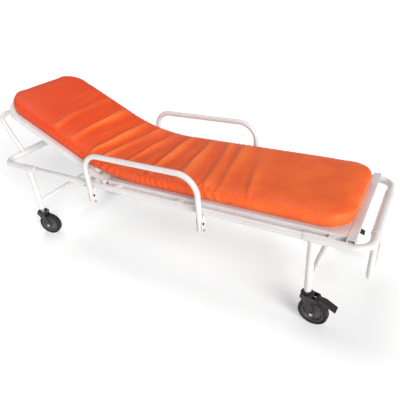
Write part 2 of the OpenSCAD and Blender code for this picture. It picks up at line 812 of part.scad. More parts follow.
// A handle's bent run, hanging from the bar that it turns on
module handle_run(r) {
  leg = handle_reach - handle_bend;
  both_sides() {
    translate([0, -handle_y, -leg]) cylinder(r = r, h = leg);
    translate([0, -handle_y + handle_bend, -leg]) rotate([0, 90, 0]) rotate([0, 0, -90])
      rotate_extrude(angle = 90) translate([handle_bend, 0]) circle(r);
  }
  translate([0, -handle_y + handle_bend, -handle_reach]) y_bar(r, 2*(handle_y - handle_bend));
}

module handle() {
  difference() {
    union() {
      translate([0, -turn_half, 0]) y_bar(turn_r, turn_sleeve_len);
      difference() {
        handle_run(handle_r);
        handle_run(handle_r - tube_wall);
      }
    }
    translate([0, -turn_half - cut, 0]) y_bar(turn_bore_r, turn_sleeve_len + 2*cut);
  }
}

// Flanged bushes that line both ends of a turning sleeve
module handle_bushes() {
  both_sides() translate([0, -turn_half, 0]) difference() {
    union() {
      y_bar(turn_bore_r - seat_gap, bush_len);
      translate([0, -bush_flange, 0]) y_bar(turn_r - collar_step, bush_flange);
    }
    translate([0, -bush_flange - cut, 0]) y_bar(tube_r + run_gap, bush_len + bush_flange + 2*cut);
  }
}

module at_head_bar() {
  placed() translate([-end_x, 0, rail_h]) rotate([0, 180 - handle_lean, 0]) children();
}

module at_foot_bar() {
  placed() translate([end_x, 0, rail_h]) children();
}

module head_handle() {
  color(white_paint) at_head_bar() handle();
}

module head_handle_bushes() {
  color(nylon) at_head_bar() handle_bushes();
}

module foot_handle() {
  color(white_paint) at_foot_bar() handle();
}

module foot_handle_bushes() {
  color(nylon) at_foot_bar() handle_bushes();
}

// A guard's bent run, upright on its pivots
module guard_run(r) {
  half = guard_len/2;
  top = guard_rise + guard_drop;
  post = top - guard_bend;
  for (end = [-1, 1]) {
    translate([end*half, 0, 0]) cylinder(r = r, h = post);
    translate([end*(half - guard_bend), 0, post]) rotate([90, 0, 0]) rotate([0, 0, end < 0 ? 90 : 0])
      rotate_extrude(angle = 90) translate([guard_bend, 0]) circle(r);
  }
  translate([guard_bend - half, 0, top]) x_bar(r, guard_len - 2*guard_bend);
}

// Guard with a solid rounded eye at the foot of each post
module guard(side) {
  half = guard_len/2;
  color(white_paint) placed() translate([guard_mid_x, side*guard_y, guard_pivot_z]) difference() {
    union() {
      difference() {
        guard_run(guard_r);
        guard_run(guard_r - tube_wall);
      }
      for (x = [-half, half]) intersection() {
        translate([x - guard_r, 0, 0]) x_bar(guard_r, guard_d);
        translate([x, 0, -guard_r]) cylinder(r = guard_r, h = guard_d);
      }
    }
    translate([-half - guard_d, 0, 0]) x_bar(guard_bolt_r + run_gap, guard_len + 2*guard_d);
  }
}

// Puts a castor piece, drawn about the swivel axis and trailing to +X, under its leg
module at_castor(end, side) {
  turn = end < 0 ? (side < 0 ? swivel_head_right : swivel_head_left)
    : (side < 0 ? swivel_foot_right : swivel_foot_left);
  placed() translate([end*leg_x, side*rail_y, 0]) rotate([0, 0, turn]) children();
}

// Round crown, bridge and two side plates; the foot castors' plates also take the brake pedal
module fork(end, side) {
  lug_r = pedal_r + lug_rim;
  shoulder = [fork_step/2, crown_top - fork_shoulder_r - fork_step/4];
  bridge = crown_r - fork_step;
  color(black_plastic) at_castor(end, side) difference() {
    union() {
      translate([0, 0, crown_low]) cylinder(r = crown_r, h = crown_top - crown_low);
      translate([-bridge, -fork_out, crown_low])
        cube([2*bridge, 2*fork_out, crown_top - crown_low - fork_step]);
      for (y = [-fork_out, fork_in]) plate_xz(y, y + fork_t) {
        link(shoulder, fork_shoulder_r, axle_at, axle_r + axle_rim);
        link(shoulder - [fork_shoulder_r, 0], fork_shoulder_r/2, axle_at, axle_r + axle_rim/2);
        if (end > 0) link(shoulder, fork_shoulder_r - fork_step/4, pedal_at, lug_r);
      }
    }
    translate([-2*crown_r, -fork_in, 0]) cube([4*crown_r, 2*fork_in, crown_low]);
    translate([trail, -fork_out - cut, wheel_r]) y_bar(axle_r + seat_gap, 2*(fork_out + cut));
    translate([0, 0, crown_low - cut]) cylinder(r = swivel_r + run_gap, h = crown_top);
    if (end > 0) translate([pedal_at[0], -fork_out - cut, pedal_at[1]])
      y_bar(pedal_r + run_gap, 2*(fork_out + cut));
  }
}

// Axle bolt with a hexagon head and nut
module axle(end, side) {
  color(zinc) at_castor(end, side) translate([trail, 0, wheel_r]) {
    translate([0, -fork_out, 0]) y_bar(axle_r, 2*fork_out);
    translate([0, -fork_out - axle_head_t, 0]) y_hex(axle_r + axle_head_rim, axle_head_t);
    translate([0, fork_out, 0]) y_hex(axle_r + axle_head_rim, axle_head_t);
  }
}

// Half of the hub's section: long boss, dished disc and rim
module hub_section() {
  boss = fork_in - side_gap;
  boss_r = axle_r + boss_rim;
  boss_foot_r = boss_r + boss_rim/8;
  rim = wheel_w/2 - 1.5*tyre_inset;
  rim_r = hub_r - hub_rim_t;
  dish_r = rim_r - 0.8*hub_rim_t;
  web_in = wheel_w/4;
  web_out = wheel_w/6;
  bore = axle_r + run_gap;
  seat = hub_r - seat_gap;
  polygon([[bore, -boss], [boss_r, -boss], [boss_foot_r, -web_in], [dish_r, -web_out], [rim_r, -rim],
    [seat, -rim], [seat, rim], [rim_r, rim], [dish_r, web_out], [boss_foot_r, web_in], [boss_r, boss],
    [bore, boss]]);
}

// Half of the tyre's section: a flat tread between round shoulders
module tyre_section() {
  half = wheel_w/2;
  shoulder = 0.45*tyre_t;
  translate([hub_r, -half + tyre_inset]) square([tyre_t - shoulder, 2*(half - tyre_inset)]);
  translate([hub_r, -half + shoulder]) square([tyre_t, wheel_w - 2*shoulder]);
  for (y = [-half + shoulder, half - shoulder]) translate([wheel_r - shoulder, y]) circle(shoulder);
}

module at_wheel(end, side) {
  at_castor(end, side) translate([trail, 0, wheel_r]) rotate([90, 0, 0]) children();
}

module hub(end, side) {
  color(grey_plastic) at_wheel(end, side) rotate_extrude() hub_section();
}

module tyre(end, side) {
  color(black_plastic) at_wheel(end, side) rotate_extrude() tyre_section();
}

// Foot pedal with its pivot stubs and a shoe that follows the tyre
module brake_pedal(side) {
  tip = pedal_at + [pedal_len, -pedal_drop];
  knee = pedal_at + [0.45*pedal_len, -0.1*pedal_drop];
  tip_r = 0.8*pedal_t;
  shoe_way = wheel_r + shoe_r/2;
  shoe_back = 70;
  shoe_front = 48;
  color(black_plastic) at_castor(1, side) difference() {
    union() {
      plate_xz(-pedal_half, pedal_half) {
        link(pedal_at, 1.5*pedal_r, knee, pedal_t);
        link(knee, pedal_t, tip, tip_r);
      }
      plate_xz(-wheel_w/3, wheel_w/3)
        link(axle_at + shoe_way*[cos(shoe_back), sin(shoe_back)], shoe_r,
          axle_at + shoe_way*[cos(shoe_front), sin(shoe_front)], shoe_r);
      translate([pedal_at[0], -fork_out, pedal_at[1]]) y_bar(pedal_r, 2*fork_out);
    }
    translate([axle_at[0], -fork_out, axle_at[1]]) y_bar(wheel_r + side_gap, 2*fork_out);
  }
}

head_bow();
foot_bow();
side_rail(-1);  // side_rail_right
side_rail(1);  // side_rail_left
rail_spigots();
leg(-1, -1);  // leg_head_right
leg(-1, 1);  // leg_head_left
leg(1, -1);  // leg_foot_right
leg(1, 1);  // leg_foot_left
lower_cross_tube(-1);  // lower_cross_tube_head
lower_cross_tube(1);  // lower_cross_tube_foot
deck_pan();
deck_ribs();
deck_foot_bar();
deck_spacers();
hinge_cross_tube();
hinge_ears();
hinge_brackets();
hinge_rod();
clamp_bolts();
handle_collars();
guard_brackets();
guard_bolts();
guard_catches();
castor_stems();
mattress_foot();
mattress_fold();
mattress_head();
backrest_pan();
backrest_ribs();
quadrants();
clamp_lever(-1);  // clamp_lever_right
clamp_lever(1);  // clamp_lever_left
head_handle();
head_handle_bushes();
foot_handle();
foot_handle_bushes();
guard(-1);  // guard_right
guard(1);  // guard_left
fork(-1, -1);  // fork_head_right
fork(-1, 1);  // fork_head_left
fork(1, -1);  // fork_foot_right
fork(1, 1);  // fork_foot_left
axle(-1, -1);  // axle_head_right
axle(-1, 1);  // axle_head_left
axle(1, -1);  // axle_foot_right
axle(1, 1);  // axle_foot_left
hub(-1, -1);  // hub_head_right
hub(-1, 1);  // hub_head_left
hub(1, -1);  // hub_foot_right
hub(1, 1);  // hub_foot_left
tyre(-1, -1);  // tyre_head_right
tyre(-1, 1);  // tyre_head_left
tyre(1, -1);  // tyre_foot_right
tyre(1, 1);  // tyre_foot_left
brake_pedal(-1);  // brake_pedal_right
brake_pedal(1);  // brake_pedal_left
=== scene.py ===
import json
import math

import bpy
import numpy as np
from mathutils import Matrix, Vector


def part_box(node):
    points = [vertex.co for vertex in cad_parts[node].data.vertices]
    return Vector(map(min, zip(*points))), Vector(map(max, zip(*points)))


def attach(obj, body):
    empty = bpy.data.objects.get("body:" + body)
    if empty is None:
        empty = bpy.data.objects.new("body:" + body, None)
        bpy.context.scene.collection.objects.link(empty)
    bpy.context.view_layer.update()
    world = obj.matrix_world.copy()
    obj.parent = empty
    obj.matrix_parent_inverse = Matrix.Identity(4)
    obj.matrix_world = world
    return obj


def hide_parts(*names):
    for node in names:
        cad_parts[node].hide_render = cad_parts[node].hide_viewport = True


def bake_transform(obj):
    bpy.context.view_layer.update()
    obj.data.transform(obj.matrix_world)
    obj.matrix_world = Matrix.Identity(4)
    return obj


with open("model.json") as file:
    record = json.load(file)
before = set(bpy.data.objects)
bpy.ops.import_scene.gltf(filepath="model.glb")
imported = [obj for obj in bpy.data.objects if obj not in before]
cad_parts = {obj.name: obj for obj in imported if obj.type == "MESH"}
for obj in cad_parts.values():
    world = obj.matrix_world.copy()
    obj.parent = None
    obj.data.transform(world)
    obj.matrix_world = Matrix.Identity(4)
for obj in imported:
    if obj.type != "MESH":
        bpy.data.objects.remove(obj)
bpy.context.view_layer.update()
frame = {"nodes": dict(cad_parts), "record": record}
nodes = frame["nodes"]
slotOf = {s["node"]: s["material_slot"] for s in frame["record"]["subparts"]}
print("frame loaded:", len(nodes), "nodes")

# the camera stands at the foot end's right, above the cot
camera = {
    "place": (1.1168, -1.4785, 1.3316),
    "yaw": 0.5616,
    "pitch": 0.5428,
    "roll": -0.0855,
    "focal": 402.22,        # pixels, in a frame of 400
    "frameSide": 400,
    "sensor": 36.0,
    "clip": (0.05, 100),
}


def addCamera(spec):
    # aim from yaw and pitch, then the picture turns about the aim by the roll
    yaw, pitch, roll = spec["yaw"], spec["pitch"], spec["roll"]
    aim = Vector((-math.sin(yaw) * math.cos(pitch), math.cos(yaw) * math.cos(pitch), -math.sin(pitch)))
    level = Vector((math.cos(yaw), math.sin(yaw), 0))
    rise = level.cross(aim)
    right = math.cos(roll) * level + math.sin(roll) * rise
    up = -math.sin(roll) * level + math.cos(roll) * rise
    data = bpy.data.cameras.new("photoCamera")
    data.sensor_width = spec["sensor"]
    data.lens = spec["focal"] / spec["frameSide"] * spec["sensor"]
    data.clip_start, data.clip_end = spec["clip"]
    made = bpy.data.objects.new("photoCamera", data)
    turn = Matrix((right, up, -aim)).transposed().to_4x4()
    made.matrix_world = Matrix.Translation(spec["place"]) @ turn
    bpy.context.scene.collection.objects.link(made)
    bpy.context.scene.camera = made


addCamera(camera)
print("camera placed")


# shader helpers

def addNode(tree, kind, values=None, **settings):
    made = tree.nodes.new(kind)
    for key, value in settings.items():
        setattr(made, key, value)
    for key, value in (values or {}).items():
        made.inputs[key].default_value = value
    return made


def newGroup(name, inputs, outputs):
    tree = bpy.data.node_groups.new(name, "ShaderNodeTree")
    for label, kind, start in inputs:
        socket = tree.interface.new_socket(name=label, in_out="INPUT", socket_type=kind)
        if start is not None:
            socket.default_value = start
    for label in outputs:
        tree.interface.new_socket(name=label, in_out="OUTPUT", socket_type="NodeSocketFloat")
    return tree, tree.nodes.new("NodeGroupInput"), tree.nodes.new("NodeGroupOutput")


def addNoise(tree, vector, scale, detail, roughness=0.55):
    made = addNode(tree, "ShaderNodeTexNoise", {"Detail": detail, "Roughness": roughness})
    tree.links.new(vector, made.inputs["Vector"])
    if isinstance(scale, (int, float)):
        made.inputs["Scale"].default_value = scale
    else:
        tree.links.new(scale, made.inputs["Scale"])
    return made.outputs["Fac"]


def addRange(tree, value, low, high, toLow=0.0, toHigh=1.0):
    made = addNode(tree, "ShaderNodeMapRange",
                   {"From Min": low, "From Max": high, "To Min": toLow, "To Max": toHigh})
    tree.links.new(value, made.inputs["Value"])
    return made.outputs["Result"]


def addMath(tree, operation, a, b):
    made = addNode(tree, "ShaderNodeMath", operation=operation)
    for place, value in enumerate((a, b)):
        if isinstance(value, (int, float)):
            made.inputs[place].default_value = value
        else:
            tree.links.new(value, made.inputs[place])
    return made.outputs[0]


def buildSurfaceWear():
    # grain: fine unevenness; soil: broad uneven tint; scuff: a few short rubbed marks
    tree, source, result = newGroup(
        "surfaceWear",
        [("Vector", "NodeSocketVector", None), ("Grain Scale", "NodeSocketFloat", 400.0),
         ("Soil Scale", "NodeSocketFloat", 7.0), ("Scuff Scale", "NodeSocketFloat", 30.0)],
        ["Grain", "Soil", "Scuff"])
    vector = source.outputs["Vector"]
    grain = addNoise(tree, vector, source.outputs["Grain Scale"], 2.0)
    soil = addNoise(tree, vector, source.outputs["Soil Scale"], 6.0)
    stretch = addNode(tree, "ShaderNodeMapping", {"Scale": (1.0, 1.7, 0.45), "Rotation": (0.4, 0.3, 0.7)})
    tree.links.new(vector, stretch.inputs["Vector"])
    scuff = addNoise(tree, stretch.outputs["Vector"], source.outputs["Scuff Scale"], 8.0, 0.7)
    tree.links.new(grain, result.inputs["Grain"])
    tree.links.new(addRange(tree, soil, 0.42, 0.72), result.inputs["Soil"])
    tree.links.new(addRange(tree, scuff, 0.64, 0.72), result.inputs["Scuff"])
    return tree


def buildCoverWeave():
    # plain weave: sine of one thread direction times sine of the other, in the cover's flat coordinates
    tree, source, result = newGroup(
        "coverWeave",
        [("Vector", "NodeSocketVector", None), ("Threads", "NodeSocketFloat", 900.0),
         ("Mottle Scale", "NodeSocketFloat", 11.0)],
        ["Weave", "Mottle", "Rub", "Fade"])
    vector = source.outputs["Vector"]
    parts = addNode(tree, "ShaderNodeSeparateXYZ")
    tree.links.new(vector, parts.inputs["Vector"])
    turns = addMath(tree, "MULTIPLY", source.outputs["Threads"], 2 * math.pi)
    warp = addMath(tree, "SINE", addMath(tree, "MULTIPLY", parts.outputs["X"], turns), 0.0)
    weft = addMath(tree, "SINE", addMath(tree, "MULTIPLY", parts.outputs["Y"], turns), 0.0)
    tree.links.new(addMath(tree, "MULTIPLY", warp, weft), result.inputs["Weave"])
    # Falloff Shade: 0 at the head end to 1 at the foot end, the mask of the painted shade along the cover
    tree.links.new(addRange(tree, parts.outputs["X"], -0.6, 0.7), result.inputs["Fade"])
    mottle = addNoise(tree, vector, source.outputs["Mottle Scale"], 5.0)
    tree.links.new(addRange(tree, mottle, 0.3, 0.7), result.inputs["Mottle"])
    rubAndHighlight = addNoise(tree, vector, addMath(tree, "MULTIPLY", source.outputs["Mottle Scale"], 6.0), 4.0)
    tree.links.new(addRange(tree, rubAndHighlight, 0.35, 0.7), result.inputs["Rub"])
    return tree


surfaceWear = buildSurfaceWear()
coverWeave = buildCoverWeave()


def newMaterial(name, fixed):
    made = bpy.data.materials.new(name)
    made.use_nodes = True
    tree = made.node_tree
    shader = tree.nodes["Principled BSDF"]
    for key, value in fixed.items():
        shader.inputs[key].default_value = value
    return made, tree, shader


def mixColours(tree, mask, first, second):
    made = addNode(tree, "ShaderNodeMix", data_type="RGBA")
    tree.links.new(mask, made.inputs["Factor"])
    for socket, value in ((made.inputs[6], first), (made.inputs[7], second)):
        if isinstance(value, tuple):
            socket.default_value = (*value, 1.0)
        else:
            tree.links.new(value, socket)
    return made.outputs[2]


def addBump(tree, shader, height, strength, distance):
    made = addNode(tree, "ShaderNodeBump", {"Strength": strength, "Distance": distance})
    tree.links.new(height, made.inputs["Height"])
    tree.links.new(made.outputs["Normal"], shader.inputs["Normal"])


# one entry for each rigid finish: clean and soiled colour, rubbed colour, roughness clean and soiled,
# scales per metre of grain, soil and scuffs, and the grain's bump
finishes = {
    "white_paint": {
        "clean": (0.68, 0.655, 0.650), "soiled": (0.60, 0.565, 0.55), "rubbed": (0.42, 0.40, 0.39),
        "rough": (0.24, 0.42), "scales": (260.0, 6.0, 26.0), "scuffs": 0.35, "bump": (0.10, 0.0006),
        "fixed": {"Coat Weight": 0.25, "Coat Roughness": 0.12, "Specular IOR Level": 0.5},
    },
    "zinc_steel": {
        "clean": (0.58, 0.585, 0.60), "soiled": (0.42, 0.42, 0.43), "rubbed": (0.72, 0.72, 0.73),
        "rough": (0.28, 0.5), "scales": (500.0, 60.0, 90.0), "scuffs": 0.6, "bump": (0.12, 0.0004),
        "fixed": {"Metallic": 1.0},
    },
    "dark_steel": {
        "clean": (0.035, 0.035, 0.038), "soiled": (0.06, 0.058, 0.055), "rubbed": (0.20, 0.20, 0.20),
        "rough": (0.35, 0.55), "scales": (500.0, 30.0, 60.0), "scuffs": 0.5, "bump": (0.12, 0.0005),
        "fixed": {"Specular IOR Level": 0.5},
    },
    "black_plastic": {
        "clean": (0.013, 0.010, 0.011), "soiled": (0.028, 0.024, 0.024), "rubbed": (0.075, 0.069, 0.070),
        "rough": (0.42, 0.6), "scales": (900.0, 35.0, 70.0), "scuffs": 0.4, "bump": (0.25, 0.0005),
        "fixed": {"Specular IOR Level": 0.5},
    },
    "black_fork": {
        "clean": (0.011, 0.008, 0.009), "soiled": (0.026, 0.022, 0.022), "rubbed": (0.110, 0.104, 0.106),
        "rough": (0.30, 0.5), "scales": (450.0, 28.0, 55.0), "scuffs": 0.5, "bump": (0.18, 0.0006),
        "fixed": {"Specular IOR Level": 0.5, "Coat Weight": 0.1},
    },
    "grey_plastic": {
        "clean": (0.058, 0.050, 0.053), "soiled": (0.085, 0.077, 0.077), "rubbed": (0.160, 0.152, 0.154),
        "rough": (0.45, 0.65), "scales": (900.0, 40.0, 70.0), "scuffs": 0.4, "bump": (0.25, 0.0005),
        "fixed": {"Specular IOR Level": 0.45},
    },
    "rubber_tyre": {
        "clean": (0.009, 0.007, 0.008), "soiled": (0.032, 0.027, 0.027), "rubbed": (0.060, 0.054, 0.054),
        "rough": (0.6, 0.85), "scales": (700.0, 30.0, 60.0), "scuffs": 0.6, "bump": (0.3, 0.0008),
        "fixed": {"Specular IOR Level": 0.3},
    },
    "nylon": {
        "clean": (0.70, 0.685, 0.64), "soiled": (0.55, 0.53, 0.48), "rubbed": (0.6, 0.58, 0.53),
        "rough": (0.4, 0.55), "scales": (800.0, 30.0, 60.0), "scuffs": 0.3, "bump": (0.15, 0.0004),
        "fixed": {"Specular IOR Level": 0.4},
    },
}


def buildFinish(name, spec):
    # colour: clean to soiled by the soil mask, then rubbed by the scuff mask; roughness follows the soil
    made, tree, shader = newMaterial(name, spec["fixed"])
    where = addNode(tree, "ShaderNodeTexCoord").outputs["Object"]
    wear = addNode(tree, "ShaderNodeGroup", node_tree=surfaceWear)
    tree.links.new(where, wear.inputs["Vector"])
    for label, value in zip(("Grain Scale", "Soil Scale", "Scuff Scale"), spec["scales"]):
        wear.inputs[label].default_value = value
    soiled = mixColours(tree, wear.outputs["Soil"], spec["clean"], spec["soiled"])
    scuff = addMath(tree, "MULTIPLY", wear.outputs["Scuff"], spec["scuffs"])
    tree.links.new(mixColours(tree, scuff, soiled, spec["rubbed"]), shader.inputs["Base Color"])
    rough = addRange(tree, wear.outputs["Soil"], 0.0, 1.0, *spec["rough"])
    tree.links.new(rough, shader.inputs["Roughness"])
    addBump(tree, shader, wear.outputs["Grain"], *spec["bump"])
    return made


materials = {name: buildFinish(name, spec) for name, spec in finishes.items()}

coverFinish = {
    "head": (0.62, 0.046, 0.006), "foot": (0.92, 0.150, 0.026),    # painted shade: the head end is darker and redder than the foot end, standing in for light falling off with distance
    # rubbed: colour of the random rub marks and of the painted highlight on the fold crests
    "deep": (0.66, 0.050, 0.007), "rubbed": (0.98, 0.215, 0.045),
    "threads": 700.0, "mottle": 11.0, "rough": (0.42, 0.58), "bump": (0.12, 0.0003),
    "mottleShare": 0.5, "rubShare": 0.12, "patchy": (0.65, 1.0),
    "fixed": {"Sheen Weight": 0.03, "Sheen Roughness": 0.4, "Specular IOR Level": 0.30},
}


def buildCover(spec):
    # coated cloth: mottled orange, with painted shade darker towards the head and a painted highlight on the
    # fold crests, roughness by the rub mask, weave as bump
    made, tree, shader = newMaterial("orange_cover", spec["fixed"])
    where = addNode(tree, "ShaderNodeAttribute", attribute_name="coverFlat").outputs["Vector"]
    weave = addNode(tree, "ShaderNodeGroup", node_tree=coverWeave)
    weave.inputs["Threads"].default_value = spec["threads"]
    weave.inputs["Mottle Scale"].default_value = spec["mottle"]
    tree.links.new(where, weave.inputs["Vector"])
    # painted shade: head colour to foot colour along the cover, darker towards the head
    falloffShaded = mixColours(tree, weave.outputs["Fade"], spec["head"], spec["foot"])
    mottle = addMath(tree, "MULTIPLY", weave.outputs["Mottle"], spec["mottleShare"])
    mottled = mixColours(tree, mottle, falloffShaded, spec["deep"])
    # painted highlight: paler colour on the crests of the folds, gathers and side folds, standing in for
    # light catching them, mixed with random rub marks
    paintedHighlight = addNode(tree, "ShaderNodeAttribute", attribute_name="coverHighlight").outputs["Fac"]
    patchy = addRange(tree, weave.outputs["Rub"], 0.0, 1.0, *spec["patchy"])
    rubAndHighlight = addMath(tree, "MAXIMUM", addMath(tree, "MULTIPLY", paintedHighlight, patchy),
                  addMath(tree, "MULTIPLY", weave.outputs["Rub"], spec["rubShare"]))
    tree.links.new(mixColours(tree, rubAndHighlight, mottled, spec["rubbed"]), shader.inputs["Base Color"])
    rough = addRange(tree, weave.outputs["Rub"], 0.0, 1.0, *spec["rough"])
    tree.links.new(rough, shader.inputs["Roughness"])
    addBump(tree, shader, weave.outputs["Weave"], *spec["bump"])
    return made


materials["orange_cover"] = buildCover(coverFinish)

for name, piece in nodes.items():
    piece.data.materials.clear()
    piece.data.materials.append(materials[slotOf[name]])
print("finishes:", len(materials))


# mesh helpers

def addMesh(name, points, faces, slot):
    mesh = bpy.data.meshes.new(name)
    mesh.from_pydata(points.reshape(-1, 3).tolist(), [], faces.tolist())
    mesh.polygons.foreach_set("use_smooth", np.ones(len(mesh.polygons), bool))
    mesh.materials.append(materials[slot])
    mesh.update()
    made = bpy.data.objects.new(name, mesh)
    bpy.context.scene.collection.objects.link(made)
    return made


def gridFaces(index):
    # quads of a grid of point numbers, wound so that first axis x second axis points out
    return np.stack([index[:-1, :-1], index[1:, :-1], index[1:, 1:], index[:-1, 1:]], -1).reshape(-1, 4)


# the mattress: a cover over a foam slab, laid on the deck and bent up the backrest
mattress = {
    "width": 0.494,           # before the cover swells
    "endIn": 0.003,
    "corner": 0.118,          # plan radius of the corners
    "edge": 0.058,            # height at the sewn edge
    "crown": 0.006,           # rise of the middle above the edge
    "belly": 0.003,           # how far the sides stand out between their seams
    "topRound": 0.014,
    "underRound": 0.016,
    "lift": 0.0003,           # clearance over the deck
    "angle": math.radians(26.3),
    "headReach": 0.694,       # hinge to head end, along the backrest
    "cell": 0.0065,
    "sideRows": 3,
    "roundRows": 4,
    # folds across the top: place of the steep side on the middle line, slant, reach to the foot,
    # rise, and the stretch across, from y to y
    "folds": [
        (-0.700, -0.050, 0.060, 0.0027, -0.08, 0.25),
        (-0.648, -0.045, 0.050, 0.0038, -0.14, 0.25),
        (-0.590, -0.040, 0.075, 0.0072, -0.26, 0.25),
        (-0.473, 0.030, 0.085, 0.0118, -0.27, 0.25),
        (-0.388, 0.045, 0.045, 0.0051, -0.14, 0.24),
        (-0.324, 0.078, 0.070, 0.0144, -0.27, 0.25),
        (-0.236, 0.075, 0.085, 0.0135, -0.27, 0.25),
        (-0.117, 0.070, 0.075, 0.0101, -0.26, 0.25),
        (-0.048, 0.040, 0.040, 0.0044, -0.22, 0.12),
        (0.018, -0.010, 0.066, 0.0144, -0.27, 0.25),
        (0.090, -0.040, 0.045, 0.0040, -0.06, 0.25),
        (0.157, -0.050, 0.075, 0.0118, -0.27, 0.25),
        (0.272, -0.180, 0.066, 0.0105, -0.27, 0.25),
        (0.353, -0.172, 0.075, 0.0088, -0.27, 0.25),
        (0.455, -0.234, 0.095, 0.0061, -0.26, 0.24),
    ],
    "steep": 0.018,           # half length of a fold's steep side
    "fadeOut": 0.07,          # length over which a fold runs out at its ends
    "topRings": 6,            # rings from the seam over which the folds reach full height
    "crease": (0.018, -0.010, 0.0042, -0.0060, -0.27, 0.25),    # place, slant, width, rise, from y, to y
    "paintedHighlight": 0.011,            # fold height at which the painted highlight on a crest is full
    "highlightShares": (1.4, 1.1),      # how much gathers and side folds count for the painted highlight, against the folds
    "pucker": (0.0020, 0.024),      # rise and spacing of the gathers along the sewn edge
    "sideFold": (0.0036, 0.036),    # rise and spacing of the short folds on the sides
    "sideLean": 0.35,         # slant of the side folds, along per height
    "bunched": (-0.40, 0.42),       # stretch where the bend bunches the cover
    "simCell": 0.013,
    "slack": 1.010,           # cut of the cover against the foam
    "cloth": {"quality": 6, "mass": 0.15, "tension_stiffness": 25, "compression_stiffness": 25,
              "shear_stiffness": 10, "bending_stiffness": 0.8, "air_damping": 2,
              "use_pressure": True, "uniform_pressure_force": 4.0},
    "frames": 20,
    "cap": 0.005,             # furthest that the cloth may move a point
}


def padRings(spec, cell):
    # edge profile from the belly's middle to the flat: inset from the outline and height, upper and under
    mid = spec["edge"] / 2
    seam = spec["edge"] - spec["topRound"]
    t = np.arange(spec["sideRows"] + 1) / spec["sideRows"]
    a = np.arange(1, spec["roundRows"] + 1) / spec["roundRows"] * math.pi / 2
    inward = spec["belly"] * t ** 2
    upper = [np.r_[inward, spec["belly"] + spec["topRound"] * (1 - np.cos(a))],
             np.r_[mid + (seam - mid) * t, seam + spec["topRound"] * np.sin(a)]]
    under = [np.r_[inward, spec["belly"] + spec["underRound"] * (1 - np.cos(a))],
             np.r_[mid + (spec["underRound"] - mid) * t, spec["underRound"] * (1 - np.sin(a))]]
    steps = round((spec["corner"] - upper[0][-1]) / cell)
    flatUp, flatDown = (np.linspace(inset[-1], spec["corner"], steps + 1)[1:] for inset, _ in (upper, under))
    share = (spec["corner"] - flatUp) / (spec["corner"] - upper[0][-1])
    crown = spec["edge"] + spec["crown"] * (1 - share ** 2)
    return ((np.r_[upper[0], flatUp], np.r_[upper[1], crown]),
            (np.r_[under[0], flatDown], np.r_[under[1], np.zeros(steps)]))


def padPlan(inset, x0, x1, width, corner, cell):
    # plan of a round-cornered rectangle: straight rows inset from the edges, quarter rings in the corners
    last = len(inset) - 1
    axes = []
    for low, high in ((x0, x1), (-width / 2, width / 2)):
        count = round((high - low - 2 * corner) / cell)
        middle = np.linspace(low + corner, high - corner, count + 1)[1:-1]
        axes.append(np.r_[low + inset, middle, (high - inset)[::-1]])
    x, y = np.meshgrid(*axes, indexing="ij")
    rows, columns = np.indices(x.shape)
    ringX = np.minimum(np.minimum(rows, x.shape[0] - 1 - rows), last)
    ringY = np.minimum(np.minimum(columns, x.shape[1] - 1 - columns), last)
    ring = np.minimum(ringX, ringY)
    run = 2.0 * np.maximum(last - ring, 1)
    turn = np.where(ringX <= ringY, (last - ringY) / run, 1 - (last - ringX) / run) * math.pi / 2
    radius = corner - inset[ring]
    inCorner = (ringX < last) & (ringY < last)
    headSide, rightSide = rows < x.shape[0] / 2, columns < x.shape[1] / 2
    cornerX = np.where(headSide, x0 + corner, x1 - corner) - np.where(headSide, 1, -1) * radius * np.cos(turn)
    side = width / 2 - corner
    cornerY = np.where(rightSide, -side, side) - np.where(rightSide, 1, -1) * radius * np.sin(turn)
    return np.where(inCorner, cornerX, x), np.where(inCorner, cornerY, y), ring, axes


hingeLow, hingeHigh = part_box("hinge_rod")
padLow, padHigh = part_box("mattress_foot")
hinge = (hingeLow + hingeHigh) / 2
bend = {"x": padLow.x, "z": padLow.z, "angle": mattress["angle"]}
bend["near"] = bend["x"] - hinge.x
bend["radius"] = bend["near"] / math.tan(mattress["angle"] / 2) - (bend["z"] - hinge.z)
bend["length"] = bend["radius"] * bend["angle"]


def layOnCot(flat):
    # flat: along, across, height
    # level to the foot of the fold, an arc over the hinge, then straight up the backrest
    along, across, height = flat[..., 0], flat[..., 1], flat[..., 2] + mattress["lift"]
    turn = np.clip(-along / bend["radius"], 0, bend["angle"])
    reach = bend["radius"] - height
    level = np.maximum(along, 0)
    raised = np.maximum(-along - bend["length"], 0)
    x = bend["x"] - reach * np.sin(turn) + level - raised * math.cos(bend["angle"])
    z = bend["z"] + bend["radius"] - reach * np.cos(turn) + raised * math.sin(bend["angle"])
    return np.stack([x, across, z], -1)


def smoothStep(low, high, value):
    t = np.clip((value - low) / (high - low), 0, 1)
    return t * t * (3 - 2 * t)


def fadeEnds(across, low, high, run):
    return smoothStep(low, low + run, across) * (1 - smoothStep(high - run, high, across))


def foldRise(along, across, fold, spec):
    # saw-tooth fold along a slanted line: a short steep side to the head, a long fall to the foot;
    # sines of the way across make its line, steepness, reach and height uneven
    place, slant, reach, rise, low, high = fold
    wander = 0.007 * np.sin(7 * across + 40 * place) + 0.0015 * np.sin(29 * across - 60 * place)
    away = along - place - slant * across + wander
    steep = spec["steep"] * (1 + 0.35 * np.sin(13 * across + 70 * place))
    reach = reach * (0.85 + 0.35 * np.sin(9 * across + 55 * place))
    section = smoothStep(-steep, steep, away) * (1 - smoothStep(0, reach, away))
    section -= 0.25 * np.exp(-((away + 1.3 * steep) / steep) ** 2)
    uneven = 0.72 + 0.28 * np.sin(12 * across + 90 * place)
    return rise * section * uneven * fadeEnds(across, low, high, spec["fadeOut"])


def coverRise(along, across, spec):
    # all folds together and the one sharp crease, a narrow bell section
    rise = sum(foldRise(along, across, fold, spec) for fold in spec["folds"])
    place, slant, width, depth, low, high = spec["crease"]
    away = (along - place - slant * across + 0.6 * spec["steep"] + 0.002 * np.sin(17 * across)) / width
    return rise + depth * np.exp(-away ** 2) * fadeEnds(across, low, high, spec["fadeOut"])


